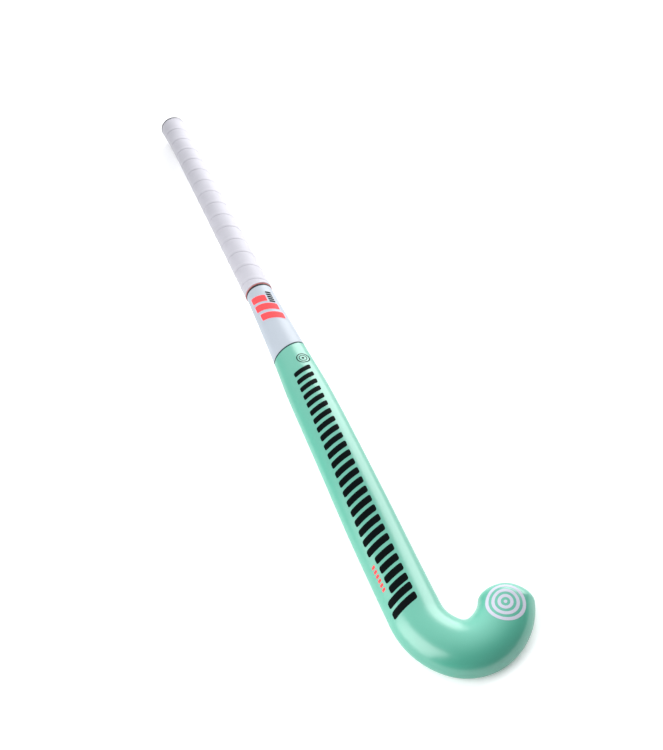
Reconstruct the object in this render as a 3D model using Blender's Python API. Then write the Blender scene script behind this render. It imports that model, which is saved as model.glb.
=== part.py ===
"""Field hockey stick, junior size, lying on its flat striking face.

+Y runs up the shaft to the butt, +X points to the toe, +Z out of the rounded back.
Lengths are in metres. Along the stick, s is the distance down its centre line,
zero where the hook's bend starts, negative up the shaft, positive round the hook.
"""

import math

import bmesh
import bpy
from mathutils import Vector
from mathutils.bvhtree import BVHTree

# The whole stick
LENGTH = 0.8128  # heel to butt, the 32 inch junior size
BEND_Y = 0.0681  # height above the heel where the hook's bend starts
HOOK_ARCS = ((0.0517, 45.1), (0.0280, 62.4), (0.0418, 47.2))  # radius, degrees
TOE_DEPTH = 0.0139  # how far the rounded toe reaches past the last arc
TOE_DROP = 0.56  # share of the thickness that the toe loses at its tip

# The bow, seen from the side
BOW = 0.0232  # height of the face above the floor at its highest
BOW_START = 0.030  # s where the face starts to rise
BOW_PEAK = -0.243

# Outer section of the sleeves, as (s, size)
WIDTHS = (
    (-0.3785, 0.0269),
    (-0.2847, 0.0343),
    (-0.2278, 0.0402),
    (-0.1566, 0.0426),
    (-0.0769, 0.0448),
    (0.0, 0.0447),
    (0.0354, 0.0457),
    (0.0708, 0.0466),
    (0.1056, 0.0450),
)
THICKNESSES = (
    (-0.3785, 0.0260),
    (-0.2900, 0.0250),
    (-0.1000, 0.0206),
    (0.0, 0.0222),
    (0.0528, 0.0242),
    (0.1056, 0.0250),
)
ROUND_FROM, ROUND_TO = -0.0500, -0.3785  # s where the section turns from a D into a circle
TOP_POWER = 2.06  # exponent of the rounded back's curve
SHOULDER = 0.235  # height of the widest point, as a share of the thickness
ROUND_FLAT = 12.0  # degrees each side of the lowest point that stay straight on a circle

# How finely the surfaces are divided
TOP_STEPS = 12
CORNER_STEPS = 2
TOE_STEPS = 4
TOE_LAST = 87.0  # degrees of the toe's quarter turn where its last ring sits
SHAFT_STEP = 0.0225
HOOK_TURN_STEP = 8.5
HANDLE_STEP = 0.030
FLARE_STEP = 0.011
ROUND_STEPS = 20
STATION_MARGIN = 0.002  # a regular station this close to the first one is left out

# Layers, as depths below the outer surface
WALL = 0.0010
GAP = 0.0003
CLOTH = 0.0005
CLOTH_TOP = WALL + GAP
CLOTH_BOTTOM = CLOTH_TOP + CLOTH
CORE = CLOTH_BOTTOM + GAP

# Handle: outer radius of the grip, as (distance above the heel, radius)
GRIP_RADII = (
    (0.4460, 0.0144),
    (0.6000, 0.0141),
    (0.7400, 0.0138),
    (0.7800, 0.0141),
    (0.8000, 0.0149),
    (0.8128, 0.0152),
)
HANDLE_CORE_RADII = (
    (0.4460, 0.01125),
    (0.7600, 0.0113),
    (0.7960, 0.0119),
    (0.8128, 0.0121),
)
TAPE = 0.0012
PITCH = 0.0248
TURN_STEPS = 18
TAPE_SLOT = 0.0004

# Where the pieces end, as distances above the heel
BREAK_Y = 0.3528
BREAK_SKEW = 0.25
BREAK_BAND = 0.0012
SKEW_ROOM = 0.012  # length beside the colour break that its slanted rings need
SLEEVE_END = 0.4455
BAND_START = 0.4458
BAND_END = 0.4474
BAND_RADIUS = 0.0137
ACCENT_END = 0.4483
ACCENT_RADIUS = 0.0139
GRIP_START = 0.4486
GRIP_END = 0.8105
CLOTH_END = 0.4400
CORE_END = LENGTH - 0.0028

# The splice, a long V whose point is towards the head
SPLICE_POINT = -0.1150
SPLICE_MOUTH = -0.2650
SPLICE_GLUE = 0.0015  # half the gap along the stick, which leaves 0.3 mm across the glue
SPLICE_STEPS = 5
LAMINATIONS = 6
LAMINATION_TOE = 0.75  # share of the toe's depth that the laminations reach into
CANES = 4
RUBBER = 0.0012
RUBBER_SHARE = 0.08  # half a rubber's place across the core, rounded up
STRIP_EDGE = 0.965  # how near the core's very edge the outer strips reach
SLANT_ROOM = 0.004  # length between a slanted end and the first square station

# End cap
CAP_DISC = 0.0025
CAP_SKIRT = 0.0140
CAP_WALL = 0.0012
CAP_MOUTH_WALL = 0.00084
CAP_TAPER = 0.002  # length over which the skirt's wall reaches its full thickness
CAP_LIP = 0.0018
CAP_EDGE = 0.0006
CAP_CLEARANCE = 0.001  # between the underlay and the skirt's mouth

# Films. The shaft's are (low, high, first angle, last angle) on the rounded back, in
# distances above the heel and degrees from its right end. The round ones are
# (x, distance above the heel, radius, radius of the hole).
FILM = 0.0002
FILM_LIFT = GAP
SHAFT_FILM = (0.068, 0.325, 62.0, 118.0)
SIDE_FILM = (0.090, 0.118, 122.0, 132.0)
HANDLE_FILM = (0.392, 0.434, 62.0, 128.0)
TOE_FILM = (0.0663, 0.0388, 0.0155, 0.0005)
RING_FILM = (0.0084, 0.3335, 0.0062, 0.0050)
RING_HOLE = 0.001  # a film with a larger hole is a ring, any other is a full disc
ABOVE = 0.2  # height from which the round films are dropped onto the back


def smooth_curve(knots, at):
    """Monotone cubic through the (position, value) knots."""
    if at <= knots[0][0]:
        return knots[0][1]
    if at >= knots[-1][0]:
        return knots[-1][1]
    slopes = [
        (b[1] - a[1]) / (b[0] - a[0]) for a, b in zip(knots[:-1], knots[1:])
    ]
    tangents = [slopes[0]]
    for before, after in zip(slopes[:-1], slopes[1:]):
        same_way = before * after > 0
        tangents.append(2 * before * after / (before + after) if same_way else 0.0)
    tangents.append(slopes[-1])
    index = max(i for i, knot in enumerate(knots) if knot[0] <= at)
    (x0, y0), (x1, y1) = knots[index], knots[index + 1]
    span = x1 - x0
    t = (at - x0) / span
    return (
        (2 * t**3 - 3 * t**2 + 1) * y0
        + (t**3 - 2 * t**2 + t) * span * tangents[index]
        + (3 * t**2 - 2 * t**3) * y1
        + (t**3 - t**2) * span * tangents[index + 1]
    )


def ease(t):
    """Zero to one with no slope or curvature at either end."""
    t = min(max(t, 0.0), 1.0)
    return t * t * t * (t * (6 * t - 15) + 10)


def ease_cubic(t):
    t = min(max(t, 0.0), 1.0)
    return t * t * (3 - 2 * t)


HOOK_LENGTH = sum(radius * math.radians(turn) for radius, turn in HOOK_ARCS)
BUTT_S = BEND_Y - LENGTH
BUTT_RISE = GRIP_RADII[-1][1] - THICKNESSES[0][1] / 2  # the cap's rim rests on the floor


def centre_at(s):
    """Centre line's x, y and heading at s. Past the last arc it goes straight on."""
    x, y, heading = 0.0, BEND_Y, -math.pi / 2
    if s <= 0:
        return x, y - s, heading
    left = s
    for radius, turn in HOOK_ARCS:
        step = min(left, radius * math.radians(turn))
        after = heading + step / radius
        x += radius * (math.sin(after) - math.sin(heading))
        y -= radius * (math.cos(after) - math.cos(heading))
        heading = after
        left -= step
    return x + left * math.cos(heading), y + left * math.sin(heading), heading


def rise_at(s):
    """Height of the sleeve's flat side above the floor."""
    if s >= BOW_START:
        return 0.0
    if s >= BOW_PEAK:
        return BOW * ease((BOW_START - s) / (BOW_START - BOW_PEAK))
    fall = (BOW_PEAK - s) / (BOW_PEAK - BUTT_S)
    return BOW - (BOW - BUTT_RISE) * fall * fall


def toe_shrink(s, inset):
    """Shares of the width and the thickness left at s in the rounded toe."""
    past = max(0.0, s - HOOK_LENGTH) / (TOE_DEPTH - inset)
    width = math.sqrt(max(0.0, 1 - past * past))
    return width, 1 - (1 - width) * TOE_DROP


def section(s, inset):
    """Outline at s, as (across, height) pairs: the right end of the back's curve first."""
    width_share, height_share = toe_shrink(s, inset)
    half = (smooth_curve(WIDTHS, s) / 2 - inset) * width_share
    thick = smooth_curve(THICKNESSES, s)
    shoulder = thick * SHOULDER * height_share
    top = shoulder + (thick * height_share - shoulder - inset)
    low = inset
    corner = min(shoulder - low, half * 0.9)
    roundness = ease_cubic((ROUND_FROM - s) / (ROUND_FROM - ROUND_TO))
    radius = thick / 2 - inset
    middle = thick / 2
    points = []
    for step in range(TOP_STEPS + 1):
        angle = math.pi * step / TOP_STEPS
        c, q = math.cos(angle), math.sin(angle)
        across = half * math.copysign(abs(c) ** (2 / TOP_POWER), c)
        height = shoulder + (top - shoulder) * q ** (2 / TOP_POWER)
        points.append((across, height, half * c, middle + radius * q))
    corner_turn = math.radians(90 - ROUND_FLAT)
    for side in (-1, 1):
        steps = range(1, CORNER_STEPS + 1)
        for step in steps if side < 0 else reversed(steps):
            share = step / CORNER_STEPS
            angle = math.pi / 2 * share
            across = side * (half - corner * (1 - math.cos(angle)))
            height = shoulder - (shoulder - low) * math.sin(angle)
            turn = corner_turn * share
            points.append(
                (across, height, side * half * math.cos(turn), middle - radius * math.sin(turn))
            )
    return [
        (a * (1 - roundness) + c * roundness, b * (1 - roundness) + d * roundness)
        for a, b, c, d in points
    ]


def place(s, across, height):
    """World point at a distance across the stick, to the toe's side when positive."""
    x, y, heading = centre_at(s)
    return Vector(
        (x - across * math.sin(heading), y + across * math.cos(heading), height + rise_at(s))
    )


def ring(s, inset, first=0, last=None):
    outline = section(s, inset)
    last = len(outline) - 1 if last is None else last
    return [place(s, *outline[k]) for k in range(first, last + 1)]


def skewed_ring(y, inset):
    """Ring whose distance above the heel grows across the stick, for the colour break."""
    count = len(section(0.0, inset))
    points = []
    for k in range(count):
        s = BEND_Y - y
        for _ in range(4):
            across = section(s, inset)[k][0]
            s = BEND_Y - (y + BREAK_SKEW * across)
        points.append(place(s, *section(s, inset)[k]))
    return points


def spaced(start, end, step):
    count = max(1, round(abs(end - start) / step))
    return [start + (end - start) * i / count for i in range(count + 1)]


def stations(start, end):
    """Stations from s=start to s=end, close together round the hook and in the toe."""
    marks = spaced(BEND_Y - SLEEVE_END, 0.0, SHAFT_STEP)
    at = 0.0
    for radius, turn in HOOK_ARCS:
        length = radius * math.radians(turn)
        marks += spaced(at, at + length, radius * math.radians(HOOK_TURN_STEP))[1:]
        at += length
    inside = [s for s in marks if start + STATION_MARGIN < s < end - GAP]
    return [start] + inside + [end]


def toe_stations(inset):
    """Stations in the rounded toe, at even angles round its edge."""
    turn = math.radians(TOE_LAST) / TOE_STEPS
    depth = TOE_DEPTH - inset
    return [HOOK_LENGTH + depth * math.sin(turn * step) for step in range(1, TOE_STEPS + 1)]


def material(name, colour, roughness, metallic=0.0):
    made = bpy.data.materials.new(name)
    made.use_nodes = True
    shader = made.node_tree.nodes["Principled BSDF"]
    shader.inputs["Base Color"].default_value = (*colour, 1.0)
    shader.inputs["Roughness"].default_value = roughness
    shader.inputs["Metallic"].default_value = metallic
    return made


def add_piece(name, rings, finish, closed=False):
    """One solid from a row of rings with equal counts: ends capped, or joined into a loop."""
    mesh = bpy.data.meshes.new(name)
    bm = bmesh.new()
    rows = [[bm.verts.new(point) for point in points] for points in rings]
    pairs = list(zip(rows[:-1], rows[1:]))
    if closed:
        pairs.append((rows[-1], rows[0]))
    for a, b in pairs:
        for k in range(len(a)):
            n = (k + 1) % len(a)
            bm.faces.new((a[k], a[n], b[n], b[k]))
    if not closed:
        bm.faces.new(rows[0])
        bm.faces.new(rows[-1])
    bmesh.ops.recalc_face_normals(bm, faces=bm.faces)
    bm.to_mesh(mesh)
    bm.free()
    mesh.materials.append(finish)
    mesh.shade_smooth()
    mesh.set_sharp_from_angle(angle=math.radians(35))
    piece = bpy.data.objects.new(name, mesh)
    bpy.context.scene.collection.objects.link(piece)
    return piece


def tube(name, outer, inner, finish):
    """Open tube: the outer rings one way and the inner rings back."""
    return add_piece(name, outer + inner[::-1], finish, closed=True)


def make_lower_sleeve(finish):
    """Glass-fibre sock over head and shaft, closed round the toe and open at the top."""
    start = BEND_Y - (BREAK_Y - BREAK_BAND / 2 - GAP)
    body = stations(start + SKEW_ROOM, HOOK_LENGTH)

    def side(inset):
        rows = [skewed_ring(BEND_Y - start, inset)]
        rows += [ring(s, inset) for s in body + toe_stations(inset)]
        return rows

    return add_piece("lower_sleeve", side(WALL)[::-1] + side(0.0), finish)


def make_break_band(finish):
    low = BREAK_Y - BREAK_BAND / 2
    high = BREAK_Y + BREAK_BAND / 2
    outer = [skewed_ring(low, 0.0), skewed_ring(high, 0.0)]
    inner = [skewed_ring(low, WALL), skewed_ring(high, WALL)]
    return tube("colour_break_band", outer, inner, finish)


def make_upper_sleeve(finish):
    low = BREAK_Y + BREAK_BAND / 2 + GAP
    body = stations(BEND_Y - SLEEVE_END, BEND_Y - low - SKEW_ROOM)[::-1]

    def side(inset):
        return [skewed_ring(low, inset)] + [ring(s, inset) for s in body]

    return tube("upper_sleeve", side(0.0), side(WALL), finish)


def make_cloth(name, first, last, finish):
    """Strip of cloth that follows one stretch of the section's outline."""
    rings = []
    for s in stations(BEND_Y - CLOTH_END, HOOK_LENGTH):
        over = ring(s, CLOTH_TOP, first, last)
        under = ring(s, CLOTH_BOTTOM, first, last)
        rings.append(over + under[::-1])
    return add_piece(name, rings, finish)


def heights(s, across, inset):
    """Lowest and highest point of the section at a distance across it."""
    outline = section(s, inset)
    top = outline[: TOP_STEPS + 1]
    bottom = [outline[TOP_STEPS]] + outline[TOP_STEPS + 1 :] + [outline[0]]

    def crossing(points):
        for a, b in zip(points[:-1], points[1:]):
            if min(a[0], b[0]) <= across <= max(a[0], b[0]) and a[0] != b[0]:
                return a[1] + (b[1] - a[1]) * (across - a[0]) / (b[0] - a[0])
        return points[0][1] if across > 0 else points[-1][1]

    return crossing(bottom), crossing(top)


def core_half(s):
    """Half the width of the wooden core at s, on the shaft and in the handle."""
    y = BEND_Y - s
    if y > SLEEVE_END:
        return smooth_curve(HANDLE_CORE_RADII, y)
    return smooth_curve(WIDTHS, s) / 2 - CORE


def core_heights(s, across):
    y = BEND_Y - s
    if y <= SLEEVE_END:
        return heights(s, across, CORE)
    radius = smooth_curve(HANDLE_CORE_RADII, y)
    reach = math.sqrt(max(radius * radius - across * across, 1e-8))
    middle = smooth_curve(THICKNESSES, s) / 2
    return middle - reach, middle + reach


def strip_ring(s_of, shares, margin_left, margin_right):
    """Outline of one strip of the core, between two shares of its half width."""
    low, high = [], []
    for i, share in enumerate(shares):
        margin = margin_left if i == 0 else -margin_right if i == len(shares) - 1 else 0.0
        moved = share + margin / core_half(s_of(share))
        s = s_of(moved)
        across = moved * core_half(s)
        bottom, top = core_heights(s, across)
        low.append(place(s, across, bottom))
        high.append(place(s, across, top))
    return low + high[::-1]


def strip_shares(index, count, samples):
    edges = [-STRIP_EDGE, *(2 * i / count - 1 for i in range(1, count)), STRIP_EDGE]
    a, b = edges[index], edges[index + 1]
    return [a + (b - a) * i / samples for i in range(samples + 1)]


def splice_s(share):
    return SPLICE_POINT + (SPLICE_MOUTH - SPLICE_POINT) * abs(share)


def from_splice(level, glue):
    """Functions that slide a strip's slanted end, step by step, to the square station."""

    def slide(t):
        return lambda share: (splice_s(share) + glue) * (1 - t) + level * t

    return [slide(step / SPLICE_STEPS) for step in range(SPLICE_STEPS + 1)]


def make_lamination(index, finish):
    shares = strip_shares(index, LAMINATIONS, 2)
    depth = (TOE_DEPTH - CORE) * LAMINATION_TOE

    def toe_s(share):
        return HOOK_LENGTH + depth * math.sqrt(1 - share * share)

    def ring_of(s_of):
        return strip_ring(s_of, shares, GAP / 2, GAP / 2)

    level = max(splice_s(share) for share in shares) + SLANT_ROOM
    rings = [ring_of(s_of) for s_of in from_splice(level, SPLICE_GLUE)]
    for s in stations(level, HOOK_LENGTH)[1:]:
        rings.append(ring_of(lambda share, s=s: s))
    rings.append(ring_of(toe_s))
    return add_piece(f"hook_lamination_{index + 1}", rings, finish)


def make_cane(index, finish):
    shares = strip_shares(index, CANES, 3)
    left = RUBBER / 2 + GAP if index > 0 else 0.0
    right = RUBBER / 2 + GAP if index < CANES - 1 else 0.0

    def ring_of(s_of):
        return strip_ring(s_of, shares, left, right)

    level = min(splice_s(share) for share in shares) - SLANT_ROOM
    rings = [ring_of(s_of) for s_of in from_splice(level, -SPLICE_GLUE)]
    for s in core_stations(level):
        rings.append(ring_of(lambda share, s=s: s))
    return add_piece(f"handle_cane_{index + 1}", rings, finish)


def core_stations(start):
    """Stations up the shaft and handle from s=start to the core's end."""
    shaft = stations(BEND_Y - SLEEVE_END, start)[::-1][1:]
    handle = spaced(BEND_Y - SLEEVE_END - SLANT_ROOM, BEND_Y - CORE_END, HANDLE_STEP)
    return shaft + handle


def make_rubber(index, finish):
    share = 2 * (index + 1) / CANES - 1
    start = splice_s(abs(share) + RUBBER_SHARE) - SPLICE_GLUE
    rings = []
    for s in [start] + core_stations(start - SLANT_ROOM):
        middle = share * core_half(s)
        outline = []
        for across in (middle - RUBBER / 2, middle + RUBBER / 2):
            outline.append((across, core_heights(s, across)))
        (left, (left_low, left_high)), (right, (right_low, right_high)) = outline
        low = max(left_low, right_low)
        high = min(left_high, right_high)
        rings.append(
            [
                place(s, left, low),
                place(s, right, low),
                place(s, right, high),
                place(s, left, high),
            ]
        )
    return add_piece(f"handle_rubber_{index + 1}", rings, finish)


def axis_height(y):
    s = BEND_Y - y
    return rise_at(s) + smooth_curve(THICKNESSES, s) / 2


def handle_point(y, radius, angle):
    height = axis_height(y) + radius * math.sin(angle)
    return Vector((radius * math.cos(angle), y, height))


def handle_ring(y, radius):
    turn = 2 * math.pi / ROUND_STEPS
    return [handle_point(y, radius, turn * step) for step in range(ROUND_STEPS)]


def make_band(name, low, high, radius, finish):
    inner = HANDLE_CORE_RADII[0][1] + GAP
    outer_rings = [handle_ring(low, radius), handle_ring(high, radius)]
    inner_rings = [handle_ring(low, inner), handle_ring(high, inner)]
    return tube(name, outer_rings, inner_rings, finish)


def grip_inner(y):
    return smooth_curve(GRIP_RADII, y) - TAPE


def make_underlay(finish):
    end = LENGTH - CAP_DISC - CAP_SKIRT - CAP_CLEARANCE
    flare = GRIP_RADII[2][0]
    marks = spaced(ACCENT_END + GAP, flare, 2 * HANDLE_STEP)
    marks += spaced(flare, end, FLARE_STEP)[1:]
    outer = [handle_ring(y, grip_inner(y) - GAP) for y in marks]
    inner = [handle_ring(y, smooth_curve(HANDLE_CORE_RADII, y) + GAP) for y in marks]
    return tube("grip_underlay", outer, inner, finish)


def make_grip(finish):
    """Cushion tape wound as a helix: each turn lies beside the one before it."""
    turns = (GRIP_END - GRIP_START) / PITCH + 1
    steps = int(turns * TURN_STEPS)
    rings = []
    for step in range(1, steps):
        angle = 2 * math.pi * step / TURN_STEPS
        high = GRIP_START + PITCH * step / TURN_STEPS
        low = high - PITCH + TAPE_SLOT
        low = max(low, GRIP_START)
        high = min(high, GRIP_END)
        if high - low < TAPE_SLOT:
            continue
        points = []
        for y, depth in ((low, TAPE), (high, TAPE), (high, 0.0), (low, 0.0)):
            points.append(handle_point(y, smooth_curve(GRIP_RADII, y) - depth, angle))
        rings.append(points)
    return add_piece("grip_tape", rings, finish)


def make_end_cap(finish):
    """Moulded cup pushed over the end of the handle, under the last turns of the grip."""
    end = LENGTH - CAP_DISC
    mouth = end - CAP_SKIRT
    clear = HANDLE_CORE_RADII[-1][1] + GAP
    lip = GRIP_RADII[-1][1]
    rings = [
        handle_ring(end, clear * 0.5),
        handle_ring(end, clear),
        handle_ring(mouth, clear),
        handle_ring(mouth, clear + CAP_MOUTH_WALL),
        handle_ring(end - CAP_TAPER, clear + CAP_WALL),
        handle_ring(LENGTH - CAP_LIP, clear + CAP_WALL),
        handle_ring(LENGTH - CAP_LIP, lip),
        handle_ring(LENGTH - CAP_EDGE, lip),
        handle_ring(LENGTH, lip - CAP_EDGE),
        handle_ring(LENGTH, lip * 0.5),
    ]
    return add_piece("end_cap", rings, finish)


def make_shaft_film(name, extent, finish, steps=8):
    """Film on the rounded back between two distances and two angles of its curve."""
    low, high, first_angle, last_angle = extent

    def arc(s, lift):
        points = []
        outline = section(s, -lift)[: TOP_STEPS + 1]
        for step in range(steps + 1):
            share = first_angle + (last_angle - first_angle) * step / steps
            at = share / 180 * TOP_STEPS
            k = min(int(at), TOP_STEPS - 1)
            t = at - k
            across = outline[k][0] * (1 - t) + outline[k + 1][0] * t
            height = outline[k][1] * (1 - t) + outline[k + 1][1] * t
            points.append(place(s, across, height))
        return points

    rings = []
    for s in stations(BEND_Y - high, BEND_Y - low):
        rings.append(arc(s, FILM_LIFT + FILM) + arc(s, FILM_LIFT)[::-1])
    return add_piece(name, rings, finish)


def make_round_film(name, base, extent, finish, rings=8, spokes=36):
    """Disc or ring of film draped on the base piece."""
    centre_x, centre_y, radius, hole = extent
    tree = BVHTree.FromObject(base, bpy.context.evaluated_depsgraph_get())

    def drop(distance, lift):
        points = []
        for spoke in range(spokes):
            angle = 2 * math.pi * spoke / spokes
            x = centre_x + distance * math.cos(angle)
            y = centre_y + distance * math.sin(angle)
            hit, normal, *_ = tree.ray_cast(Vector((x, y, ABOVE)), Vector((0, 0, -1)))
            points.append(hit + normal * lift)
        return points

    marks = spaced(hole, radius, (radius - hole) / rings)
    top = [drop(mark, FILM_LIFT + FILM) for mark in marks]
    bottom = [drop(mark, FILM_LIFT) for mark in marks]
    if hole > RING_HOLE:
        return add_piece(name, top + bottom[::-1], finish, closed=True)
    return add_piece(name, bottom + top[::-1], finish)


def centre_on_floor(pieces):
    """Moves the stick so that the origin is the middle of its box, on the floor."""
    points = [vertex.co for piece in pieces for vertex in piece.data.vertices]
    low = Vector(min(point[axis] for point in points) for axis in range(3))
    high = Vector(max(point[axis] for point in points) for axis in range(3))
    shift = Vector((-(low.x + high.x) / 2, -(low.y + high.y) / 2, -low.z))
    for piece in pieces:
        for vertex in piece.data.vertices:
            vertex.co += shift


def main():
    for obj in list(bpy.data.objects):
        bpy.data.objects.remove(obj)

    mint = material("mint_lacquer", (0.17, 0.57, 0.45), 0.25)
    white = material("pale_lacquer", (0.62, 0.69, 0.75), 0.28)
    pinstripe = material("pinstripe_film", (0.05, 0.07, 0.07), 0.35)
    tape = material("grip_polyurethane", (0.76, 0.74, 0.79), 0.6)
    coral = material("coral_film", (0.95, 0.14, 0.15), 0.35)
    black_tape = material("finishing_tape", (0.03, 0.025, 0.025), 0.5)
    cap = material("cap_rubber", (0.02, 0.02, 0.022), 0.6)
    foam = material("underlay_foam", (0.25, 0.25, 0.27), 0.9)
    ash = material("hook_wood", (0.55, 0.38, 0.2), 0.6)
    cane = material("handle_cane", (0.68, 0.52, 0.3), 0.65)
    rubber = material("damping_rubber", (0.04, 0.04, 0.045), 0.8)
    cloth = material("glass_cloth", (0.75, 0.76, 0.7), 0.5)
    ink = material("dark_film", (0.012, 0.014, 0.018), 0.3)
    pale = material("pale_film", (0.75, 0.74, 0.85), 0.35)

    pieces = [make_lamination(index, ash) for index in range(LAMINATIONS)]
    pieces += [make_cane(index, cane) for index in range(CANES)]
    pieces += [make_rubber(index, rubber) for index in range(CANES - 1)]
    corners = TOP_STEPS + 2 * CORNER_STEPS
    pieces.append(make_cloth("face_cloth", TOP_STEPS + 1, corners, cloth))
    pieces.append(make_cloth("back_cloth", 1, TOP_STEPS - 1, cloth))
    lower = make_lower_sleeve(mint)
    pieces.append(lower)
    pieces.append(make_break_band(pinstripe))
    pieces.append(make_upper_sleeve(white))
    pieces.append(make_band("finishing_tape", BAND_START, BAND_END, BAND_RADIUS, black_tape))
    pieces.append(make_band("accent_band", BAND_END + GAP, ACCENT_END, ACCENT_RADIUS, coral))
    pieces.append(make_underlay(foam))
    pieces.append(make_grip(tape))
    pieces.append(make_end_cap(cap))
    pieces.append(make_shaft_film("shaft_decal", SHAFT_FILM, ink))
    pieces.append(make_shaft_film("side_decal", SIDE_FILM, coral, steps=3))
    pieces.append(make_shaft_film("handle_decal", HANDLE_FILM, coral))
    pieces.append(make_round_film("toe_decal", lower, TOE_FILM, pale))
    pieces.append(make_round_film("ring_decal", lower, RING_FILM, ink, rings=1, spokes=20))
    centre_on_floor(pieces)


main()
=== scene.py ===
"""Looks of the field hockey stick: fine lacquered sleeves, wound grip, cap and graphics.

Lengths are in metres. Along the stick, s is the distance down its centre line, zero where
the hook's bend starts, negative up the shaft, positive round the hook. A distance called y
is a height above the heel, and x is a distance to the toe's side of the shaft's axis.
"""

import math

import bmesh
import bpy
from mathutils import Matrix, Vector


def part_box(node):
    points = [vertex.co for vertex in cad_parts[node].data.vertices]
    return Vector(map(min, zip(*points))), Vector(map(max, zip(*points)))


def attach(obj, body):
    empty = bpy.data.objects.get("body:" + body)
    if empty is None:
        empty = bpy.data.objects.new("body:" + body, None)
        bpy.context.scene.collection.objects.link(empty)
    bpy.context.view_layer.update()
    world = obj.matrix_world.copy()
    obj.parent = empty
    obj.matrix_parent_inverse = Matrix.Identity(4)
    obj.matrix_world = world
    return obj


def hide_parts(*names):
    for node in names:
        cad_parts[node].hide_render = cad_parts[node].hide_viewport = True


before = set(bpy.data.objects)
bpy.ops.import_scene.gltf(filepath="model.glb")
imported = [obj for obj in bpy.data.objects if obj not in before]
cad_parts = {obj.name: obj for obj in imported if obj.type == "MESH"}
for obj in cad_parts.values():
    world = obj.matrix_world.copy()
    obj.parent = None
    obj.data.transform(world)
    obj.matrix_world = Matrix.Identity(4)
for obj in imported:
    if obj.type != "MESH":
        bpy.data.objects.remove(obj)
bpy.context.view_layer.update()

# The shape's driving dimensions, the same as in the CAD model
LENGTH = 0.8128
BEND_Y = 0.0681
HOOK_ARCS = ((0.0517, 45.1), (0.0280, 62.4), (0.0418, 47.2))  # radius, degrees
TOE_DEPTH = 0.0139
TOE_DROP = 0.56
BOW = 0.0232
BOW_START = 0.030
BOW_PEAK = -0.243
WIDTHS = (
    (-0.3785, 0.0269),
    (-0.2847, 0.0343),
    (-0.2278, 0.0402),
    (-0.1566, 0.0426),
    (-0.0769, 0.0448),
    (0.0, 0.0447),
    (0.0354, 0.0457),
    (0.0708, 0.0466),
    (0.1056, 0.0450),
)
THICKNESSES = (
    (-0.3785, 0.0260),
    (-0.2900, 0.0250),
    (-0.1000, 0.0206),
    (0.0, 0.0222),
    (0.0528, 0.0242),
    (0.1056, 0.0250),
)
ROUND_FROM, ROUND_TO = -0.0500, -0.3785
TOP_POWER = 2.06
SHOULDER = 0.235
CORNER_LIMIT = 0.9  # most of the half width that a rounded corner takes
WALL = 0.0010
GAP = 0.0003
GRIP_RADII = (
    (0.4460, 0.0144),
    (0.6000, 0.0141),
    (0.7400, 0.0138),
    (0.7800, 0.0141),
    (0.8000, 0.0149),
    (0.8128, 0.0152),
)
HANDLE_CORE_RADIUS = 0.01125
TAPE = 0.0012
TAPE_SETTLE = 0.0002  # how far the tape lies inside the grip's radii between its laps
BREAK_Y = 0.3528
BREAK_SKEW = 0.25
BREAK_BAND = 0.0012
SLEEVE_END = 0.4455
BAND_START = 0.4458
BAND_END = 0.4474
BAND_RADII = (0.0133, 0.0135, 0.0137)
ACCENT_END = 0.4483
ACCENT_RADII = (0.0137, 0.0139, 0.0140, 0.0139)
BAND_EDGE = 0.0002  # length of the rounded edge of a band
GRIP_START = 0.4486
GRIP_END = 0.8105
CAP_CLEAR = 0.0124
CAP_DISC = 0.0025
CAP_SKIRT = 0.0140
CAP_WALL = 0.0012
CAP_LIP = 0.0018
CAP_RIM = 0.0008  # radius of the rounded rim
CAP_EDGE = 0.0002
CAP_MOUTH_SHARE = 0.7  # share of the skirt's wall that is left at its mouth
CAP_TAPER = 0.002
CAP_INNER_RADIUS = 0.0062  # where the flat inner end stops being divided
CAP_DISH = (  # depth below the rim and radius of the dished end, from the rim inwards
    (0.0001, 0.0125),
    (0.0007, 0.0119),
    (0.0008, 0.0113),
    (0.0008, 0.0056),
    (0.0006, 0.0050),
    (0.0002, 0.0046),
    (0.0001, 0.0030),
    (0.0001, 0.0012),
)

# How finely the visible surfaces are divided
TOP_STEPS = 64
CORNER_STEPS = 12
FLAT_STEPS = 6
ROUND_FLAT = 4.0  # degrees each side of the lowest point that stay straight on a circle
SHAFT_STEP = 0.003
HOOK_TURN_STEP = 1.8
TOE_STEPS = 24
TOE_LAST = 89.3  # degrees of the toe's quarter turn where its last ring sits
ROUND_STEPS = 96
SHARP_ANGLE = 40.0
SEARCH_ROUNDS = 36
SKEW_ROUNDS = 4

# Grip tape: each turn laps over the one below it
LAP_FIRST = 0.4567  # height of the first lap on the back's middle line
LAP_PITCH = 0.0239
LAP_GROWTH = 0.00009  # how much each turn adds to the pitch, towards the butt
LAP_RISE = 0.00020
LAP_ROUND = 0.0005
LAP_FLAT = 0.0036
LAP_FADE = 0.0054
LAP_CREASE = 0.0007
LAP_SINK = 0.00008
FADE_SHADE = 0.45  # strength of the painted shade line where a lap's step fades out
FADE_SHADE_BACK = 0.0008
FADE_SHADE_REACH = 0.0009
GRIP_ROUND = 0.0005
GRIP_INNER_STEP = 0.012
MERGE = 0.000002

# Graphics, as thin films on the lacquer
FILM_LIFT = 0.00003
FILM = 0.00005
SLOPE_STEP = 0.0002

HOOK_LENGTH = sum(radius * math.radians(turn) for radius, turn in HOOK_ARCS)
BUTT_S = BEND_Y - LENGTH
BUTT_RISE = GRIP_RADII[-1][1] - THICKNESSES[0][1] / 2
CAP_LOW, CAP_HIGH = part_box("end_cap")
ORIGIN = Vector(((CAP_LOW.x + CAP_HIGH.x) / 2, CAP_HIGH.y - LENGTH, 0.0))


# ---- The stick's shape ----


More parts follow.
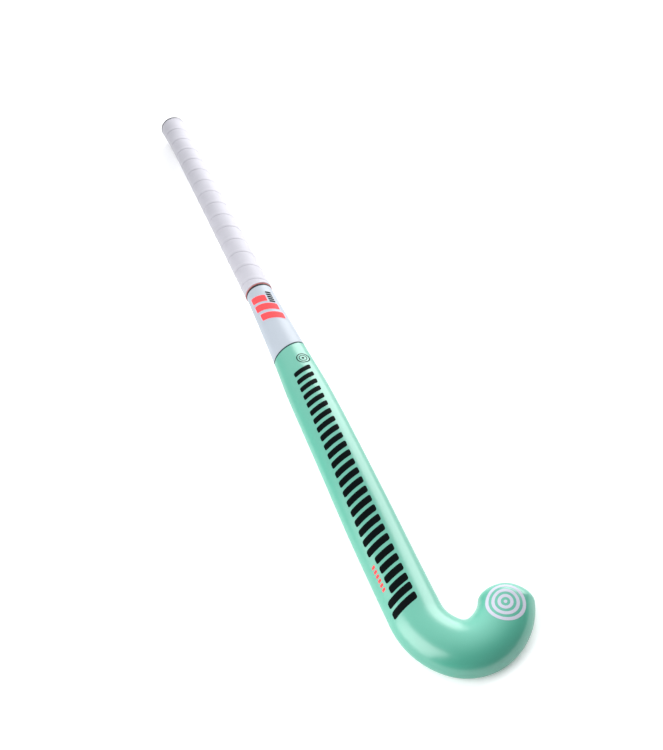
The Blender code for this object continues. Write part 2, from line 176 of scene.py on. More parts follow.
def smooth_curve(knots, at):
    """Monotone cubic through the (position, value) knots."""
    if at <= knots[0][0]:
        return knots[0][1]
    if at >= knots[-1][0]:
        return knots[-1][1]
    slopes = [(b[1] - a[1]) / (b[0] - a[0]) for a, b in zip(knots[:-1], knots[1:])]
    tangents = [slopes[0]]
    for before, after in zip(slopes[:-1], slopes[1:]):
        same_way = before * after > 0
        tangents.append(2 * before * after / (before + after) if same_way else 0.0)
    tangents.append(slopes[-1])
    index = max(i for i, knot in enumerate(knots) if knot[0] <= at)
    (x0, y0), (x1, y1) = knots[index], knots[index + 1]
    span = x1 - x0
    t = (at - x0) / span
    return (
        (2 * t**3 - 3 * t**2 + 1) * y0
        + (t**3 - 2 * t**2 + t) * span * tangents[index]
        + (3 * t**2 - 2 * t**3) * y1
        + (t**3 - t**2) * span * tangents[index + 1]
    )


def clamped(t):
    return min(max(t, 0.0), 1.0)


def ease(t):
    """Zero to one with no slope or curvature at either end."""
    t = clamped(t)
    return t * t * t * (t * (6 * t - 15) + 10)


def ease_cubic(t):
    t = clamped(t)
    return t * t * (3 - 2 * t)


def centre_at(s):
    """Centre line's x, y and heading at s. Past the last arc it goes straight on."""
    x, y, heading = 0.0, BEND_Y, -math.pi / 2
    if s <= 0:
        return x, y - s, heading
    left = s
    for radius, turn in HOOK_ARCS:
        step = min(left, radius * math.radians(turn))
        after = heading + step / radius
        x += radius * (math.sin(after) - math.sin(heading))
        y -= radius * (math.cos(after) - math.cos(heading))
        heading = after
        left -= step
    return x + left * math.cos(heading), y + left * math.sin(heading), heading


def rise_at(s):
    """Height of the sleeve's flat side above the floor."""
    if s >= BOW_START:
        return 0.0
    if s >= BOW_PEAK:
        return BOW * ease((BOW_START - s) / (BOW_START - BOW_PEAK))
    fall = (BOW_PEAK - s) / (BOW_PEAK - BUTT_S)
    return BOW - (BOW - BUTT_RISE) * fall * fall


class Section:
    """The outline across the stick at s, a depth of inset inside the outer surface."""

    def __init__(self, s, inset=0.0):
        past = max(0.0, s - HOOK_LENGTH) / (TOE_DEPTH - inset)
        width_share = math.sqrt(max(0.0, 1 - past * past))
        height_share = 1 - (1 - width_share) * TOE_DROP
        thick = smooth_curve(THICKNESSES, s)
        self.half = (smooth_curve(WIDTHS, s) / 2 - inset) * width_share
        self.shoulder = thick * SHOULDER * height_share
        self.top = thick * height_share - inset
        self.low = inset
        self.corner = min(self.shoulder - self.low, self.half * CORNER_LIMIT)
        self.roundness = ease_cubic((ROUND_FROM - s) / (ROUND_FROM - ROUND_TO))
        self.radius = thick / 2 - inset
        self.middle = thick / 2

    def mixed(self, across, height, round_across, round_height):
        share = self.roundness
        return (
            across * (1 - share) + round_across * share,
            height * (1 - share) + round_height * share,
        )

    def back(self, angle):
        """Point of the rounded back. The angle starts at its right end."""
        c, q = math.cos(angle), max(0.0, math.sin(angle))
        return self.mixed(
            self.half * math.copysign(abs(c) ** (2 / TOP_POWER), c),
            self.shoulder + (self.top - self.shoulder) * q ** (2 / TOP_POWER),
            self.half * c,
            self.middle + self.radius * q,
        )

    def under(self, side, share):
        """Point of the rounded corner on one side, from the back's end to the face."""
        angle = math.pi / 2 * share
        turn = math.radians(90 - ROUND_FLAT) * share
        return self.mixed(
            side * (self.half - self.corner * (1 - math.cos(angle))),
            self.shoulder - (self.shoulder - self.low) * math.sin(angle),
            side * self.half * math.cos(turn),
            self.middle - self.radius * math.sin(turn),
        )

    def outline(self):
        points = [self.back(math.pi * step / TOP_STEPS) for step in range(TOP_STEPS + 1)]
        points += [self.under(-1, step / CORNER_STEPS) for step in range(1, CORNER_STEPS + 1)]
        left, right = points[-1], self.under(1, 1.0)
        for step in range(1, FLAT_STEPS):
            share = step / FLAT_STEPS
            points.append((left[0] + (right[0] - left[0]) * share, left[1]))
        points += [self.under(1, 1 - step / CORNER_STEPS) for step in range(CORNER_STEPS)]
        return points

    def back_height(self, across):
        """Height of the rounded back at a distance across it."""
        low, high = 0.0, math.pi
        for _ in range(SEARCH_ROUNDS):
            angle = (low + high) / 2
            if self.back(angle)[0] > across:
                low = angle
            else:
                high = angle
        return self.back(angle)[1]


def place(s, across, height):
    """World point at a distance across the stick, to the toe's side when positive."""
    x, y, heading = centre_at(s)
    sideways = Vector((-math.sin(heading), math.cos(heading), 0.0)) * across
    return ORIGIN + Vector((x, y, height + rise_at(s))) + sideways


def ring(s, inset):
    return [place(s, *point) for point in Section(s, inset).outline()]


def skewed_ring(y, inset):
    """Ring whose distance above the heel grows across the stick, for the colour break."""
    points = []
    for k, (across, _) in enumerate(Section(BEND_Y - y, inset).outline()):
        for _ in range(SKEW_ROUNDS):
            s = BEND_Y - (y + BREAK_SKEW * across)
            across, height = Section(s, inset).outline()[k]
        points.append(place(s, across, height))
    return points


def spaced(start, end, step):
    count = max(1, round(abs(end - start) / step))
    return [start + (end - start) * i / count for i in range(count + 1)]


def hook_stations():
    marks, at = [], 0.0
    for radius, turn in HOOK_ARCS:
        length = radius * math.radians(turn)
        marks += spaced(at, at + length, radius * math.radians(HOOK_TURN_STEP))[1:]
        at += length
    return marks


def toe_stations(inset):
    """Stations in the rounded toe, at even angles round its edge."""
    turn = math.radians(TOE_LAST) / TOE_STEPS
    depth = TOE_DEPTH - inset
    return [HOOK_LENGTH + depth * math.sin(turn * step) for step in range(1, TOE_STEPS + 1)]


def axis_height(y):
    s = BEND_Y - y
    return rise_at(s) + smooth_curve(THICKNESSES, s) / 2


def handle_point(y, radius, angle):
    return ORIGIN + Vector(
        (radius * math.cos(angle), y, axis_height(y) + radius * math.sin(angle))
    )


def handle_ring(y, radius):
    turn = 2 * math.pi / ROUND_STEPS
    return [handle_point(y, radius, turn * step) for step in range(ROUND_STEPS)]


# ---- Building meshes ----


def add_piece(name, bm, finish, nodes):
    """Closes a mesh into a piece that rides on the stick and stands for its CAD nodes."""
    bmesh.ops.recalc_face_normals(bm, faces=bm.faces)
    mesh = bpy.data.meshes.new(name)
    bm.to_mesh(mesh)
    bm.free()
    mesh.materials.append(finish)
    mesh.shade_smooth()
    mesh.set_sharp_from_angle(angle=math.radians(SHARP_ANGLE))
    piece = bpy.data.objects.new(name, mesh)
    bpy.context.scene.collection.objects.link(piece)
    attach(piece, "root")
    if nodes:
        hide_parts(*nodes)


def skin(bm, rows):
    """Faces between each ring of points and the next. The rows come back as vertices."""
    made = [[bm.verts.new(point) for point in points] for points in rows]
    for a, b in zip(made[:-1], made[1:]):
        join_rings(bm, a, b)
    return made


def join_rings(bm, a, b):
    for k in range(len(a)):
        n = (k + 1) % len(a)
        bm.faces.new((a[k], a[n], b[n], b[k]))


def rings_piece(name, rings, finish, nodes, closed):
    """Piece from a row of rings: ends capped, or joined into a loop."""
    bm = bmesh.new()
    rows = skin(bm, rings)
    if closed:
        join_rings(bm, rows[-1], rows[0])
    else:
        bm.faces.new(rows[0])
        bm.faces.new(rows[-1])
    add_piece(name, bm, finish, nodes)


# ---- Sleeves and bands ----


def make_lower_sleeve(finish):
    top = BREAK_Y - BREAK_BAND / 2 - GAP
    reach = BREAK_SKEW * WIDTHS[-1][1] / 2 + SHAFT_STEP
    body = spaced(BEND_Y - top + reach, 0.0, SHAFT_STEP) + hook_stations()

    def side(inset):
        rows = [skewed_ring(top, inset)]
        return rows + [ring(s, inset) for s in body + toe_stations(inset)]

    rings = side(WALL)[::-1] + side(0.0)
    rings_piece("lacquered_sleeve", rings, finish, ["lower_sleeve"], False)


def make_break_line(finish):
    low, high = BREAK_Y - BREAK_BAND / 2, BREAK_Y + BREAK_BAND / 2
    rings = [skewed_ring(low, 0.0), skewed_ring(high, 0.0)]
    rings += [skewed_ring(high, WALL), skewed_ring(low, WALL)]
    rings_piece("break_line", rings, finish, ["colour_break_band"], True)


def make_upper_sleeve(finish):
    low = BREAK_Y + BREAK_BAND / 2 + GAP
    reach = BREAK_SKEW * WIDTHS[-1][1] / 2 + SHAFT_STEP
    body = spaced(BEND_Y - low - reach, BEND_Y - SLEEVE_END, SHAFT_STEP)

    def side(inset):
        return [skewed_ring(low, inset)] + [ring(s, inset) for s in body]

    rings = side(0.0) + side(WALL)[::-1]
    rings_piece("pale_sleeve", rings, finish, ["upper_sleeve"], True)


def make_finishing_tape(finish):
    heights = (BAND_START, BAND_START + BAND_EDGE, BAND_END)
    profile = tuple(zip(heights, BAND_RADII))
    make_band("finishing_tape_wrap", profile, finish, "finishing_tape")


def make_accent_line(finish):
    start = BAND_END + GAP / 2
    heights = (start, start + BAND_EDGE, ACCENT_END - BAND_EDGE, ACCENT_END)
    profile = tuple(zip(heights, ACCENT_RADII))
    make_band("accent_line", profile, finish, "accent_band")


def make_band(name, profile, finish, node):
    """Turned band on the handle. The profile is its outer side, as (y, radius) pairs."""
    inner = HANDLE_CORE_RADIUS + GAP
    rings = [handle_ring(y, radius) for y, radius in profile]
    rings += [handle_ring(profile[-1][0], inner), handle_ring(profile[0][0], inner)]
    rings_piece(name, rings, finish, [node], True)


# ---- Grip ----


def lap_y(turn):
    """Height of the lap's edge after so many turns, counted from the back's middle line."""
    return LAP_FIRST + LAP_PITCH * turn + LAP_GROWTH * turn * turn


def lap_height(above, span):
    """How far the tape stands out at a distance above one lap's edge, span below the next."""
    if above < LAP_ROUND:
        share = 1 - above / LAP_ROUND
        return LAP_RISE * math.sqrt(max(0.0, 1 - share * share)) - LAP_SINK * share
    fade = 1 - ease_cubic((above - LAP_FLAT) / (LAP_FADE - LAP_FLAT))
    sink = ease_cubic((above - span + LAP_CREASE) / LAP_CREASE)
    return LAP_RISE * fade - LAP_SINK * sink


def lap_offsets(span):
    """Distances above one lap's edge where the tape's surface has points."""
    edge = [LAP_ROUND * share for share in (0.0, 0.05, 0.2, 0.5, 1.0)]
    fade = [LAP_FLAT + (LAP_FADE - LAP_FLAT) * i / 5 for i in range(6)]
    crease = [span - LAP_CREASE * (1 - i / 4) for i in range(5)]
    middle = [LAP_FADE + (span - LAP_CREASE - LAP_FADE) * i / 6 for i in range(1, 6)]
    return edge + [(LAP_ROUND + LAP_FLAT) / 2] + fade + middle + crease


def make_grip(finish):
    """Cushion tape wound as a helix, one skin with a rounded lap at each turn."""
    bm = bmesh.new()
    lap_shade_layer = bm.verts.layers.float.new("crease")
    low, high = GRIP_START + GRIP_ROUND, GRIP_END - GRIP_ROUND
    first = math.floor((low - LAP_FIRST) / LAP_PITCH) - 2
    last = math.ceil((high - LAP_FIRST) / LAP_PITCH) + 1
    columns = []
    for step in range((last - first) * ROUND_STEPS):
        turn = first + step / ROUND_STEPS
        angle = 2 * math.pi * turn + math.pi / 2
        base, span = lap_y(turn), lap_y(turn + 1) - lap_y(turn)
        column = []
        for above in lap_offsets(span):
            y = min(max(base + above, low), high)
            stand = lap_height(y - base, span) if 0 <= y - base <= span else 0.0
            radius = smooth_curve(GRIP_RADII, y) - TAPE_SETTLE + stand
            vertex = bm.verts.new(handle_point(y, radius, angle))
            # Painted shade: each point gets a weight of 1 at a lap's crease and a fainter one where
            # the lap's step fades out. The grip's colour is darkened by this weight.
            near_lap = min(abs(above), abs(span - above))
            near_fade = abs(above - LAP_FADE + FADE_SHADE_BACK)
            crease = max(0.0, 1 - near_lap / LAP_CREASE)
            crease += FADE_SHADE * max(0.0, 1 - near_fade / FADE_SHADE_REACH)
            vertex[lap_shade_layer] = crease
            column.append(vertex)
        columns.append(column)
    for a, b in zip(columns[:-1], columns[1:]):
        for k in range(len(a) - 1):
            bm.faces.new((a[k], b[k], b[k + 1], a[k + 1]))
    bmesh.ops.remove_doubles(bm, verts=bm.verts, dist=MERGE)
    close_grip(bm, low, high)
    add_piece("grip_wrap", bm, finish, ["grip_tape"])


def close_grip(bm, low, high):
    """Rounds the two ends of the grip's skin inwards and joins them by its inner side."""
    edge = {low: {}, high: {}}
    for vertex in (v for v in bm.verts if v.is_boundary):
        local = vertex.co - ORIGIN
        angle = math.atan2(local.z - axis_height(local.y), local.x)
        key = round(angle / (2 * math.pi) * ROUND_STEPS) % ROUND_STEPS
        edge[low if local.y < (low + high) / 2 else high][key] = vertex
    turn = 2 * math.pi / ROUND_STEPS

    def verts_ring(y, radius):
        return [bm.verts.new(handle_point(y, radius, turn * k)) for k in range(ROUND_STEPS)]

    def rounding(y, outwards):
        rows = []
        for degrees in (30, 60, 90):
            out, back = math.sin(math.radians(degrees)), math.cos(math.radians(degrees))
            at = y + outwards * GRIP_ROUND * out
            rows.append(verts_ring(at, smooth_curve(GRIP_RADII, y) - GRIP_ROUND * (1 - back)))
        return rows

    rows = [[edge[low][k] for k in range(ROUND_STEPS)]] + rounding(low, -1)
    for y in spaced(GRIP_START, GRIP_END, GRIP_INNER_STEP):
        rows.append(verts_ring(y, smooth_curve(GRIP_RADII, y) - TAPE))
    rows += rounding(high, 1)[::-1] + [[edge[high][k] for k in range(ROUND_STEPS)]]
    for a, b in zip(rows[:-1], rows[1:]):
        join_rings(bm, a, b)


def make_cap(finish):
    """Moulded rubber cup over the butt, with a rounded rim and a dished end."""
    end = LENGTH - CAP_DISC
    mouth = end - CAP_SKIRT
    lip = GRIP_RADII[-1][1]
    skirt = CAP_CLEAR + CAP_WALL
    profile = [
        (end, CAP_INNER_RADIUS),
        (end, CAP_CLEAR),
        (mouth, CAP_CLEAR),
        (mouth, CAP_CLEAR + CAP_WALL * CAP_MOUTH_SHARE),
        (end - CAP_TAPER, skirt),
        (LENGTH - CAP_LIP, skirt),
        (LENGTH - CAP_LIP, lip - CAP_EDGE),
        (LENGTH - CAP_LIP + CAP_EDGE, lip),
    ]
    for degrees in range(0, 91, 15):
        turn = math.radians(degrees)
        drop, inwards = CAP_RIM * (1 - math.sin(turn)), CAP_RIM * (1 - math.cos(turn))
        profile.append((LENGTH - drop, lip - inwards))
    profile += [(LENGTH - depth, radius) for depth, radius in CAP_DISH]
    rings = [handle_ring(y, radius) for y, radius in profile]
    rings_piece("butt_cap", rings, finish, ["end_cap"], False)


# ---- Graphics ----


def station_of(x, y):
    """s and the distance across the stick for a point seen from above."""
    if y >= BEND_Y:
        return BEND_Y - y, x
    low, high = 0.0, HOOK_LENGTH + TOE_DEPTH
    for _ in range(SEARCH_ROUNDS):
        s = (low + high) / 2
        cx, cy, heading = centre_at(s)
        if (x - cx) * math.cos(heading) + (y - cy) * math.sin(heading) > 0:
            low = s
        else:
            high = s
    return s, (y - cy) * math.cos(heading) - (x - cx) * math.sin(heading)


def back_height(x, y):
    s, across = station_of(x, y)
    return Section(s).back_height(across) + rise_at(s)


def on_back(x, y, lift):
    """World point a small distance out from the rounded back, above (x, y)."""
    height = back_height(x, y)
    slope_x = (back_height(x + SLOPE_STEP, y) - back_height(x - SLOPE_STEP, y)) / 2
    slope_y = (back_height(x, y + SLOPE_STEP) - back_height(x, y - SLOPE_STEP)) / 2
    normal = Vector((-slope_x, -slope_y, SLOPE_STEP)).normalized()
    return ORIGIN + Vector((x, y, height)) + normal * lift


def add_film(bm, rows, lift, wrap=False):
    """One closed patch of film over a grid of (x, y) points, a loop of rows when it wraps."""
    over = [[bm.verts.new(on_back(x, y, lift + FILM)) for x, y in row] for row in rows]
    under = [[bm.verts.new(on_back(x, y, lift)) for x, y in row] for row in rows]
    last = len(rows) if wrap else len(rows) - 1
    for r in range(last):
        n = (r + 1) % len(rows)
        for k in range(len(rows[0]) - 1):
            bm.faces.new((over[r][k], over[r][k + 1], over[n][k + 1], over[n][k]))
            bm.faces.new((under[r][k], under[n][k], under[n][k + 1], under[r][k + 1]))
        for k in (0, -1):
            bm.faces.new((over[r][k], over[n][k], under[n][k], under[r][k]))
    if not wrap:
        for r in (0, -1):
            for k in range(len(rows[0]) - 1):
                bm.faces.new((over[r][k], over[r][k + 1], under[r][k + 1], under[r][k]))


def bar(x, y, half_length, half_width, lean, corner, columns=16, lines=4):
    """Grid of a bar that crosses the stick, leaning along it, with rounded corners."""
    rows = []
    for column in range(columns + 1):
        across = -half_length * math.cos(math.pi * column / columns)
        over = max(0.0, abs(across) - (half_length - corner))
        half = half_width - corner + math.sqrt(max(0.0, corner * corner - over * over))
        rows.append(
            [
                (x + across, y + lean * across + half * (2 * line / lines - 1))
                for line in range(lines + 1)
            ]
        )
    return rows


def annulus(x, y, outer, inner, spokes=72, lines=4):
    rows = []
    for spoke in range(spokes):
        angle = 2 * math.pi * spoke / spokes
        reach = [inner + (outer - inner) * line / lines for line in range(lines + 1)]
        rows.append([(x + r * math.cos(angle), y + r * math.sin(angle)) for r in reach])
    return rows


def disc(x, y, radius, lines=8):
    """Square grid drawn out to a circle."""
    marks = [2 * line / lines - 1 for line in range(lines + 1)]
    return [
        [
            (x + radius * u * math.sqrt(1 - v * v / 2), y + radius * v * math.sqrt(1 - u * u / 2))
            for v in marks
        ]
        for u in marks
    ]


BAR_COUNT = 27
BAR_TOP, BAR_BOTTOM = 0.3182, 0.0730
BAR_LEAN = 0.32
BAR_X = (0.0022, -0.0058)  # middle of the first bar and of the last
BAR_HALF_LENGTH = (0.0088, 0.0118)
BAR_HALF_WIDTH = (0.0027, 0.0033)
BAR_CORNER = 0.5  # corner radius as a share of the half width

SIDE_X = -0.0152  # the small dashes beside the bars
SIDE_LOW = 0.0930
SIDE_PITCH = 0.0042
SIDE_COUNT = 6
SIDE_DASH = (0.0014, 0.0013, BAR_LEAN, 0.0005)  # half length, half width, lean, corner
SIDE_CLEAR = 0.0036  # from the dashes' middle to the bars that are cut short beside them
SIDE_ROOM = 0.005  # height that the cut bars reach past the dashes

HANDLE_LEAN = -0.35
HANDLE_CORNER = 0.0010
HANDLE_OUTLINE = 0.0008  # how far the pale outline shows round a block
HANDLE_OUTLINE_CORNER = 0.0016
HANDLE_BLOCKS = (  # x, y, half length, half width
    (-0.0042, 0.4275, 0.0070, 0.0047),
    (-0.0006, 0.4135, 0.0106, 0.0047),
    (0.0006, 0.3995, 0.0106, 0.0047),
)
DASH_COUNT = 5
DASH_X, DASH_TOP, DASH_PITCH = 0.0068, 0.4330, 0.0036
DASH_SHAPE = (0.0024, 0.0011, HANDLE_LEAN, 0.0004)  # half length, half width, lean, corner
DASH_GRID = (8, 2)  # columns and lines of a small dash

TOE_SPOT = (0.0648, 0.0398)
TOE_RINGS = ((0.0155, 0.0130), (0.0108, 0.0083), (0.0061, 0.0036))  # outer, inner radius
TOE_DOT = 0.0014
RING_SPOT = (0.0082, 0.3329)
RING_RINGS = ((0.0062, 0.0053, 48), (0.0038, 0.0031, 36))  # outer, inner radius, spokes
RING_LINES = 2
RING_DOT = 0.0012
RING_DOT_LINES = 6


def between(ends, share):
    return ends[0] + (ends[1] - ends[0]) * share


def make_shaft_graphic(finish):
    """Slanted bars down the shaft that grow from narrow ones into broad blocks."""
    bm = bmesh.new()
    dashes_low = SIDE_LOW - SIDE_ROOM
    dashes_high = SIDE_LOW + SIDE_COUNT * SIDE_PITCH + SIDE_ROOM
    for index in range(BAR_COUNT):
        share = index / (BAR_COUNT - 1)
        x, y = between(BAR_X, share), between((BAR_TOP, BAR_BOTTOM), share)
        half_length, half_width = between(BAR_HALF_LENGTH, share), between(BAR_HALF_WIDTH, share)
        left, right = x - half_length, x + half_length
        if dashes_low < y < dashes_high:
            left = max(left, SIDE_X + SIDE_CLEAR)
        x, half_length = (left + right) / 2, (right - left) / 2
        shape = bar(x, y, half_length, half_width, BAR_LEAN, half_width * BAR_CORNER)
        add_film(bm, shape, FILM_LIFT)
    add_piece("shaft_graphic", bm, finish, ["shaft_decal"])


def make_side_graphic(finish):
    """Short dashes in a row beside the last bars."""
    bm = bmesh.new()
    for index in range(SIDE_COUNT):
        y = SIDE_LOW + SIDE_PITCH * index
        add_film(bm, bar(SIDE_X, y, *SIDE_DASH, *DASH_GRID), FILM_LIFT)
    add_piece("side_graphic", bm, finish, ["side_decal"])


def make_handle_graphic(coral, pale, dark):
    """Three outlined blocks on the pale sleeve, with dark dashes over their corner."""
    blocks, outlines, dashes = bmesh.new(), bmesh.new(), bmesh.new()
    block_lift = 2 * FILM_LIFT + FILM
    dash_lift = 3 * FILM_LIFT + 2 * FILM
    for x, y, half_length, half_width in HANDLE_BLOCKS:
        block = bar(x, y, half_length, half_width, HANDLE_LEAN, HANDLE_CORNER)
        add_film(blocks, block, block_lift)
        half_length, half_width = half_length + HANDLE_OUTLINE, half_width + HANDLE_OUTLINE
        outline = bar(x, y, half_length, half_width, HANDLE_LEAN, HANDLE_OUTLINE_CORNER)
        add_film(outlines, outline, FILM_LIFT)
    for index in range(DASH_COUNT):
        y = DASH_TOP - DASH_PITCH * index
        add_film(dashes, bar(DASH_X, y, *DASH_SHAPE, *DASH_GRID), dash_lift)
    add_piece("handle_graphic", blocks, coral, ["handle_decal"])
    add_piece("handle_graphic_outline", outlines, pale, [])
    add_piece("handle_dashes", dashes, dark, [])


def make_toe_graphic(finish):
    """Concentric rings on the toe."""
    bm = bmesh.new()
    for outer, inner in TOE_RINGS:
        add_film(bm, annulus(*TOE_SPOT, outer, inner), FILM_LIFT, wrap=True)
    add_film(bm, disc(*TOE_SPOT, TOE_DOT), FILM_LIFT)
    add_piece("toe_graphic", bm, finish, ["toe_decal"])


def make_ring_graphic(finish):
    """Two thin rings and a dot just below the colour break."""
    bm = bmesh.new()
    for outer, inner, spokes in RING_RINGS:
        rows = annulus(*RING_SPOT, outer, inner, spokes, RING_LINES)
        add_film(bm, rows, FILM_LIFT, wrap=True)
    add_film(bm, disc(*RING_SPOT, RING_DOT, RING_DOT_LINES), FILM_LIFT)
    add_piece("ring_graphic", bm, finish, ["ring_decal"])


# ---- Materials ----


def srgb(red, green, blue):
    """Linear colour from the 0 to 255 values of a paint chart."""

    def linear(value):
        share = value / 255
        return share / 12.92 if share <= 0.04045 else ((share + 0.055) / 1.055) ** 2.4

    return (linear(red), linear(green), linear(blue), 1.0)


class Finish:
    """A Principled material whose colour, roughness and bump come from patterns."""

    def __init__(self, name, settings=()):
        self.material = bpy.data.materials.new(name)
        self.material.use_nodes = True
        self.nodes = self.material.node_tree.nodes
        self.links = self.material.node_tree.links
        self.shader = self.nodes["Principled BSDF"]
        self.normal = None
        self.coords = self.nodes.new("ShaderNodeTexCoord").outputs["Object"]
        for socket, value in dict(settings).items():
            self.shader.inputs[socket].default_value = value

    def stretched(self, scale):
        """Coordinates with a scale for each axis, in repeats for each metre."""
        node = self.nodes.new("ShaderNodeMapping")
        node.inputs["Scale"].default_value = scale
        self.links.new(self.coords, node.inputs["Vector"])
        return node.outputs["Vector"]

    def noise(self, scale, detail=3.0, roughness=0.5, distortion=0.0):
        node = self.nodes.new("ShaderNodeTexNoise")
        node.inputs["Scale"].default_value = 1.0
        node.inputs["Detail"].default_value = detail
        node.inputs["Roughness"].default_value = roughness
        node.inputs["Distortion"].default_value = distortion
        self.links.new(self.stretched(scale), node.inputs["Vector"])
        return node.outputs["Fac"]

    def cells(self, scale):
        node = self.nodes.new("ShaderNodeTexVoronoi")
        node.inputs["Scale"].default_value = 1.0
        self.links.new(self.stretched(scale), node.inputs["Vector"])
        return node

    def waves(self, scale, axis, distortion=0.0, detail=2.0):
        node = self.nodes.new("ShaderNodeTexWave")
        node.bands_direction = axis
        node.inputs["Scale"].default_value = 1.0
        node.inputs["Distortion"].default_value = distortion
        node.inputs["Detail"].default_value = detail
        self.links.new(self.stretched(scale), node.inputs["Vector"])
        return node.outputs["Fac"]

    def spread(self, value, low, high, to_low=0.0, to_high=1.0):
        """The value's range from low to high, moved to another range."""
        node = self.nodes.new("ShaderNodeMapRange")
        for socket, number in (
            ("From Min", low),
            ("From Max", high),
            ("To Min", to_low),
            ("To Max", to_high),
        ):
            node.inputs[socket].default_value = number
        self.links.new(value, node.inputs["Value"])
        return node.outputs["Result"]

    def filled(self, noise, to_low=0.0, to_high=1.0):
        """A noise's usual values, from 0.3 to 0.7, moved to another range."""
        return self.spread(noise, 0.3, 0.7, to_low, to_high)

    def mixed(self, share, first, second):
        """Colour between two colours. Each is a colour or a socket."""
        node = self.nodes.new("ShaderNodeMix")
        node.data_type = "RGBA"
        self.links.new(share, node.inputs["Factor"])
        for name, value in (("A", first), ("B", second)):
            socket = next(s for s in node.inputs if s.name == name and s.type == "RGBA")
            if isinstance(value, tuple):
                socket.default_value = value
            else:
                self.links.new(value, socket)
        return next(s for s in node.outputs if s.type == "RGBA")

    def math(self, operation, first, second):
        node = self.nodes.new("ShaderNodeMath")
        node.operation = operation
        for socket, value in zip(node.inputs, (first, second)):
            if isinstance(value, float):
                socket.default_value = value
            else:
                self.links.new(value, socket)
        return node.outputs["Value"]

    def attribute(self, name):
        node = self.nodes.new("ShaderNodeAttribute")
        node.attribute_name = name
        return node.outputs["Fac"]

    def colour(self, socket):
        self.links.new(socket, self.shader.inputs["Base Color"])

    def roughness(self, socket):
        self.links.new(socket, self.shader.inputs["Roughness"])

    def bump(self, value, depth):
        """Adds a height pattern, depth metres from its lowest to its highest."""
        node = self.nodes.new("ShaderNodeBump")
        node.inputs["Distance"].default_value = depth
        self.links.new(value, node.inputs["Height"])
        if self.normal:
            self.links.new(self.normal, node.inputs["Normal"])
        self.normal = node.outputs["Normal"]
        self.links.new(self.normal, self.shader.inputs["Normal"])


def even(number):
    return (number, number, number)


def lacquer(name, deep, light, coat, coat_roughness):
    """Sprayed colour under clear coat: a soft drift of tone and a faint orange peel."""
    settings = {
        "Specular IOR Level": 0.0,
        "Coat Weight": coat,
        "Coat IOR": 1.8,
        "Coat Roughness": coat_roughness,
    }
    finish = Finish(name, settings)
    drift = finish.noise((26.0, 9.0, 26.0), 3.0)
    fine = finish.noise(even(700.0), 2.0)
    tone = finish.math("ADD", finish.math("MULTIPLY", drift, 0.8), finish.math("MULTIPLY", fine, 0.2))
    finish.colour(finish.mixed(finish.filled(tone), deep, light))
    finish.roughness(finish.filled(finish.noise(even(60.0), 4.0), 0.30, 0.38))
    finish.bump(finish.noise(even(230.0), 2.0), 0.000006)
    finish.bump(finish.noise((55.0, 18.0, 55.0), 1.0), 0.00002)
    return finish.material


def film(name, deep, light, roughness):
    """Printed film on the lacquer, with a slight unevenness of the ink."""
    finish = Finish(name, {"Specular IOR Level": 0.03})
    finish.colour(finish.mixed(finish.filled(finish.noise(even(900.0), 3.0)), deep, light))
    grain = finish.noise(even(300.0), 2.0)
    finish.roughness(finish.filled(grain, roughness - 0.05, roughness + 0.05))
    finish.bump(grain, 0.000005)
    return finish.material


def grip_finish():
    """Matt cushion tape: fine leather grain, with painted shade in the creases of the laps and along
    the faint line where each lap's step fades out.
    """
    finish = Finish("grip_polyurethane", {"Sheen Weight": 0.15, "Sheen Roughness": 0.5})
    clouds = finish.noise(even(45.0), 4.0)
    tape = finish.mixed(finish.filled(clouds), srgb(176, 174, 182), srgb(185, 183, 191))
    marks = finish.cells(even(95.0))
    speck = finish.spread(marks.outputs["Distance"], 0.02, 0.035, 1.0, 0.0)
    chosen = finish.spread(marks.outputs["Color"], 0.80, 0.82)
    speckled = finish.mixed(finish.math("MULTIPLY", speck, chosen), tape, srgb(150, 145, 156))
    # Painted shade: the colour is darkened at the laps' creases and along the line where each lap's
    # step fades out.
    crease = finish.spread(finish.attribute("crease"), 0.0, 1.0, 0.0, 0.10)
    finish.colour(finish.mixed(crease, speckled, srgb(150, 145, 158)))
    finish.roughness(finish.filled(clouds, 0.52, 0.66))
    finish.bump(finish.noise((500.0, 180.0, 500.0), 3.0, 0.6), 0.00006)
    finish.bump(finish.cells(even(1400.0)).outputs["Distance"], 0.00003)
    return finish.material


def tape_finish():
    """Black cloth tape with a fine crosswise weave."""
    finish = Finish("finishing_tape")
    weave = finish.math(
        "MULTIPLY", finish.waves((900.0, 0.0, 900.0), "X"), finish.waves((0.0, 1400.0, 0.0), "Y")
    )
    finish.colour(finish.mixed(weave, srgb(28, 24, 26), srgb(62, 50, 50)))
    finish.roughness(finish.spread(weave, 0.0, 1.0, 0.6, 0.4))
    finish.bump(weave, 0.00004)
    return finish.material


def rubber_finish(name, deep, light, roughness):
    """Moulded rubber: fine sparkle grain and a bloom that varies slowly."""
    finish = Finish(name)
    bloom = finish.noise(even(120.0), 4.0)
    grain = finish.noise(even(2600.0), 2.0)
    finish.colour(finish.mixed(finish.filled(bloom), deep, light))
    finish.roughness(finish.filled(grain, roughness - 0.08, roughness + 0.08))
    finish.bump(grain, 0.00003)
    return finish.material


def wood_finish(name, deep, light, ring_scale):
    """Bonded wood: growth rings and pores drawn out along the stick."""
    finish = Finish(name, {"Coat Weight": 0.1})
    rings = finish.waves((ring_scale, 6.0, ring_scale * 0.7), "X", 6.0, 3.0)
    pores = finish.noise((2200.0, 60.0, 2200.0), 2.0)
    tone = finish.math("ADD", finish.math("MULTIPLY", rings, 0.6), finish.math("MULTIPLY", pores, 0.4))
    finish.colour(finish.mixed(tone, deep, light))
    finish.roughness(finish.filled(pores, 0.7, 0.5))
    finish.bump(pores, 0.00008)
    return finish.material


